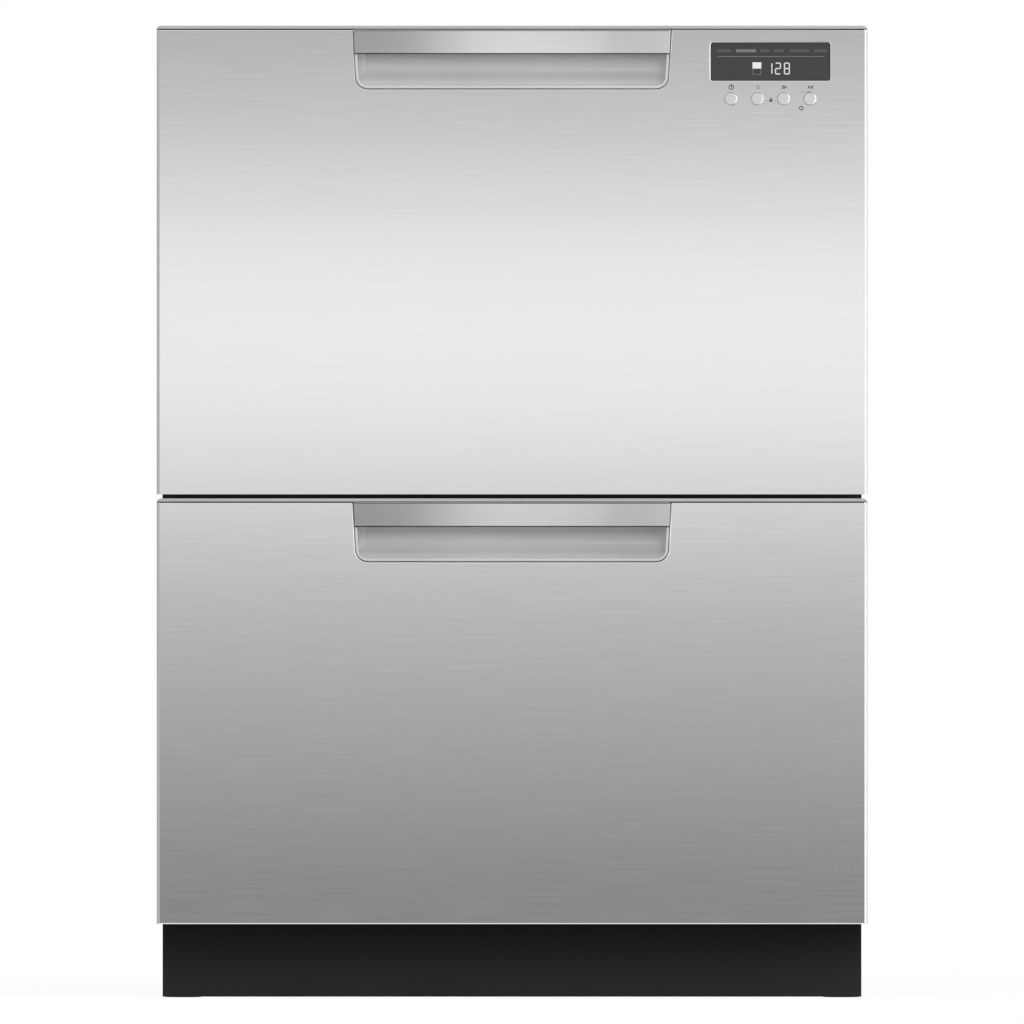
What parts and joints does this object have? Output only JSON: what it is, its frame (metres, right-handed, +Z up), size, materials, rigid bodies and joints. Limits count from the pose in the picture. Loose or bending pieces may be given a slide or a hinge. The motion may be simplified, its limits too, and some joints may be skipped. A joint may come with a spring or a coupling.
{
  "type": "double drawer dishwasher",
  "caption": "Built-in dishwasher with stacked drawers: brushed steel fronts with recessed handles, display and buttons, tubs on telescopic runners with baskets, spray arms and lifting lids.",
  "frame": {"origin": "middle of the footprint, on the floor under the levelling feet", "axes": "+X to the right seen from the front, +Y towards the back, +Z up; the drawer fronts face -Y"},
  "size_m": [0.599, 0.573, 0.82],
  "materials": {
    "front_steel": "horizontally brushed stainless steel",
    "stainless": "satin stainless steel",
    "zinc_steel": "zinc-coated sheet steel, matt",
    "black_paint": "black powder coat",
    "silver_plastic": "silver-grey moulded plastic",
    "tub_plastic": "light grey moulded plastic",
    "blue_plastic": "blue-grey moulded plastic",
    "black_plastic": "black moulded plastic",
    "motor_housing": "cast housing",
    "coated_wire": "nylon-coated steel wire",
    "seal_rubber": "soft black rubber",
    "display_glass": "dark tinted window",
    "button_chrome": "satin silver cap"
  },
  "bodies": {
    "chassis": {"base_pan": "zinc_steel", "left_side_panel": "black_paint", "right_side_panel": "black_paint", "rear_panel": "zinc_steel", "top_panel": "zinc_steel", "middle_rail": "black_paint", "toe_kick": "black_paint", "runner_outers": "zinc_steel", "lid_actuators": "black_plastic", "mounting_brackets": "zinc_steel", "hose_fittings": "black_plastic"},
    "front_left_foot": {"front_left_foot": "black_plastic"},
    "front_right_foot": {"front_right_foot": "black_plastic"},
    "rear_left_foot": {"rear_left_foot": "black_plastic"},
    "rear_right_foot": {"rear_right_foot": "black_plastic"},
    "lower_drawer": {"lower_front_panel": "front_steel", "lower_handle_moulding": "silver_plastic", "lower_handle_strip": "front_steel", "lower_inner_door": "zinc_steel", "lower_tub": "tub_plastic", "lower_runner_inner": "zinc_steel", "lower_wash_motor": "motor_housing", "lower_filter_plate": "stainless", "lower_drain_filter": "blue_plastic", "lower_dispenser": "silver_plastic", "lower_basket": "coated_wire", "lower_cutlery_basket": "silver_plastic"},
    "lower_runner_middle": {"lower_runner_middle": "zinc_steel"},
    "lower_lid": {"lower_lid": "tub_plastic", "lower_lid_seal": "seal_rubber"},
    "lower_spray_arm": {"lower_spray_arm": "tub_plastic"},
    "lower_dispenser_door": {"lower_dispenser_door": "tub_plastic"},
    "lower_folding_tines": {"lower_folding_tines": "coated_wire"},
    "lower_cup_rack": {"lower_cup_rack": "blue_plastic"},
    "upper_drawer": {"upper_front_panel": "front_steel", "upper_handle_moulding": "silver_plastic", "upper_handle_strip": "front_steel", "upper_inner_door": "zinc_steel", "upper_tub": "tub_plastic", "upper_runner_inner": "zinc_steel", "upper_wash_motor": "motor_housing", "upper_filter_plate": "stainless", "upper_drain_filter": "blue_plastic", "upper_dispenser": "silver_plastic", "upper_basket": "coated_wire", "upper_cutlery_basket": "silver_plastic", "display_window": "display_glass", "control_module": "black_plastic"},
    "upper_runner_middle": {"upper_runner_middle": "zinc_steel"},
    "upper_lid": {"upper_lid": "tub_plastic", "upper_lid_seal": "seal_rubber"},
    "upper_spray_arm": {"upper_spray_arm": "tub_plastic"},
    "upper_dispenser_door": {"upper_dispenser_door": "tub_plastic"},
    "upper_folding_tines": {"upper_folding_tines": "coated_wire"},
    "upper_cup_rack": {"upper_cup_rack": "blue_plastic"},
    "power_button": {"power_button": "button_chrome"},
    "program_button": {"program_button": "button_chrome"},
    "option_button": {"option_button": "button_chrome"},
    "start_button": {"start_button": "button_chrome"}
  },
  "joints": [
    {"name": "front_left_foot_screw", "type": "slide", "parent": "chassis", "child": "front_left_foot", "axis": [0, 0, -1], "range_m": [0, 0.06]},
    {"name": "front_right_foot_screw", "type": "slide", "parent": "chassis", "child": "front_right_foot", "axis": [0, 0, -1], "range_m": [0, 0.06]},
    {"name": "rear_left_foot_screw", "type": "slide", "parent": "chassis", "child": "rear_left_foot", "axis": [0, 0, -1], "range_m": [0, 0.06]},
    {"name": "rear_right_foot_screw", "type": "slide", "parent": "chassis", "child": "rear_right_foot", "axis": [0, 0, -1], "range_m": [0, 0.06]},
    {"name": "lower_drawer_slide", "type": "slide", "parent": "chassis", "child": "lower_drawer", "axis": [0, -1, 0], "range_m": [0, 0.48]},
    {"name": "lower_runner_slide", "type": "slide", "parent": "chassis", "child": "lower_runner_middle", "axis": [0, -1, 0], "range_m": [0, 0.24]},
    {"name": "lower_lid_lift", "type": "slide", "parent": "chassis", "child": "lower_lid", "axis": [0, 0, -1], "range_m": [0, 0.009]},
    {"name": "lower_spray_arm_spin", "type": "hinge", "parent": "lower_drawer", "child": "lower_spray_arm", "pos_m": [0, -0.02125, 0.1222], "axis": [0, 0, 1], "continuous": true},
    {"name": "lower_dispenser_door_hinge", "type": "hinge", "parent": "lower_drawer", "child": "lower_dispenser_door", "pos_m": [-0.0245, -0.2317, 0.2954], "axis": [-1, 0, 0], "range_deg": [0, 90]},
    {"name": "lower_folding_tines_hinge", "type": "hinge", "parent": "lower_drawer", "child": "lower_folding_tines", "pos_m": [-0.03, -0.02125, 0.1496], "axis": [0, -1, 0], "range_deg": [0, 88]},
    {"name": "lower_cup_rack_hinge", "type": "hinge", "parent": "lower_drawer", "child": "lower_cup_rack", "pos_m": [-0.2467, -0.02125, 0.2468], "axis": [0, -1, 0], "range_deg": [0, 86]},
    {"name": "upper_drawer_slide", "type": "slide", "parent": "chassis", "child": "upper_drawer", "axis": [0, -1, 0], "range_m": [0, 0.48]},
    {"name": "upper_runner_slide", "type": "slide", "parent": "chassis", "child": "upper_runner_middle", "axis": [0, -1, 0], "range_m": [0, 0.24]},
    {"name": "upper_lid_lift", "type": "slide", "parent": "chassis", "child": "upper_lid", "axis": [0, 0, -1], "range_m": [0, 0.009]},
    {"name": "upper_spray_arm_spin", "type": "hinge", "parent": "upper_drawer", "child": "upper_spray_arm", "pos_m": [0, -0.02125, 0.5208], "axis": [0, 0, 1], "continuous": true},
    {"name": "upper_dispenser_door_hinge", "type": "hinge", "parent": "upper_drawer", "child": "upper_dispenser_door", "pos_m": [-0.0245, -0.2317, 0.694], "axis": [-1, 0, 0], "range_deg": [0, 90]},
    {"name": "upper_folding_tines_hinge", "type": "hinge", "parent": "upper_drawer", "child": "upper_folding_tines", "pos_m": [-0.03, -0.02125, 0.5482], "axis": [0, -1, 0], "range_deg": [0, 88]},
    {"name": "upper_cup_rack_hinge", "type": "hinge", "parent": "upper_drawer", "child": "upper_cup_rack", "pos_m": [-0.2467, -0.02125, 0.6454], "axis": [0, -1, 0], "range_deg": [0, 86]},
    {"name": "power_button_press", "type": "slide", "parent": "upper_drawer", "child": "power_button", "axis": [0, 1, 0], "range_m": [0, 0.0012], "stiffness_N_per_m": 900},
    {"name": "program_button_press", "type": "slide", "parent": "upper_drawer", "child": "program_button", "axis": [0, 1, 0], "range_m": [0, 0.0012], "stiffness_N_per_m": 900},
    {"name": "option_button_press", "type": "slide", "parent": "upper_drawer", "child": "option_button", "axis": [0, 1, 0], "range_m": [0, 0.0012], "stiffness_N_per_m": 900},
    {"name": "start_button_press", "type": "slide", "parent": "upper_drawer", "child": "start_button", "axis": [0, 1, 0], "range_m": [0, 0.0012], "stiffness_N_per_m": 900}
  ],
  "couplings": [
    {"joint": "lower_runner_slide", "follows": "lower_drawer_slide", "ratio": 0.5},
    {"joint": "upper_runner_slide", "follows": "upper_drawer_slide", "ratio": 0.5}
  ]
}
